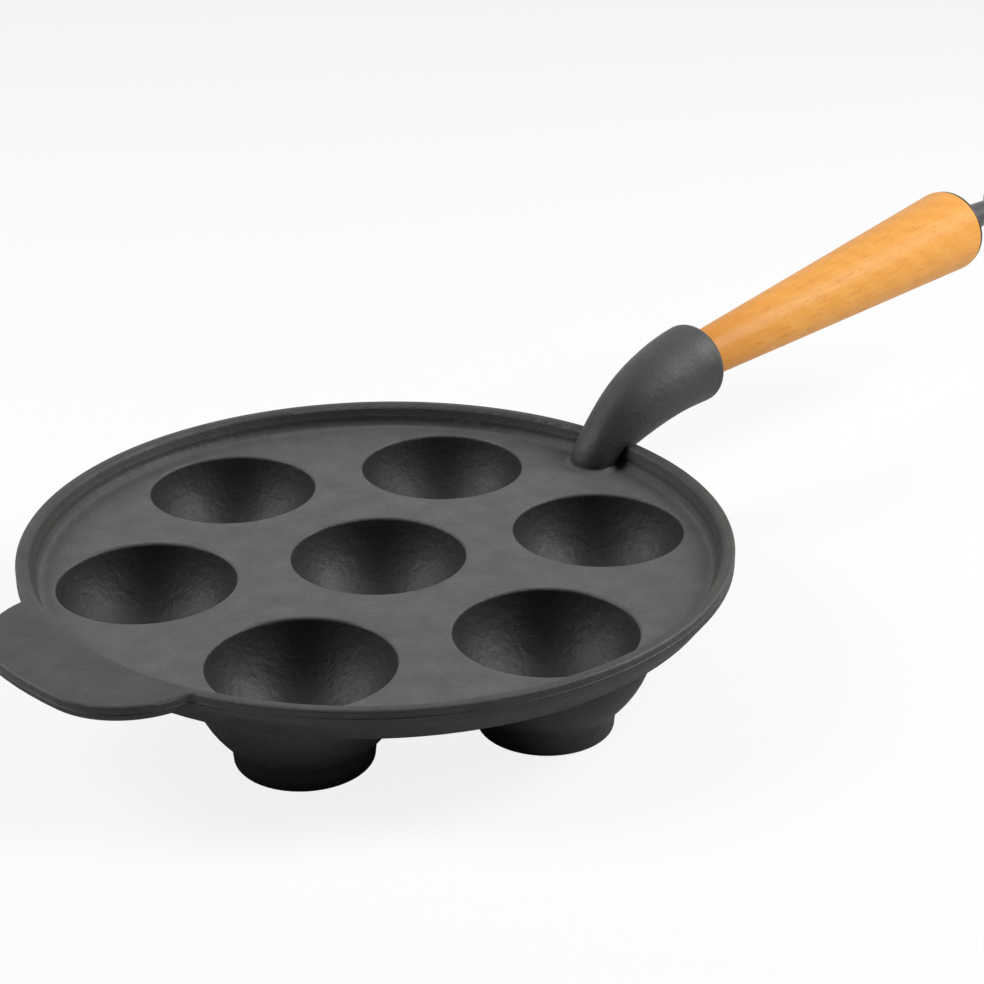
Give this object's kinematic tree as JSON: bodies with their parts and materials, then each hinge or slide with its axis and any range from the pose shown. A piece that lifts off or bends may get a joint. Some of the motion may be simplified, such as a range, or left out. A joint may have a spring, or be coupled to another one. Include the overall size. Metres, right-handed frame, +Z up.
{
  "type": "aebleskiver pan",
  "caption": "Cast-iron pan with round cups sunk in a rimmed plate, a helper tab, and a wooden handle on a bent neck with a hanging eye.",
  "frame": {"origin": "middle of the round plate on the surface the pan stands on, at the middle cup's foot", "axes": "+X along the handle, away from the plate; +Z up, out of the cups; the helper tab points along -X"},
  "size_m": [0.508, 0.2255, 0.0859],
  "materials": {
    "cast_iron": "matte seasoned, fine sand-cast grain",
    "beech": "satin clear varnish",
    "rod_steel": "plain threaded steel",
    "black_steel": "satin black"
  },
  "bodies": {
    "root": {"pan_casting": "cast_iron", "wood_handle": "beech", "tie_rod": "rod_steel", "end_washer": "black_steel", "hanging_eye": "black_steel"}
  },
  "joints": []
}
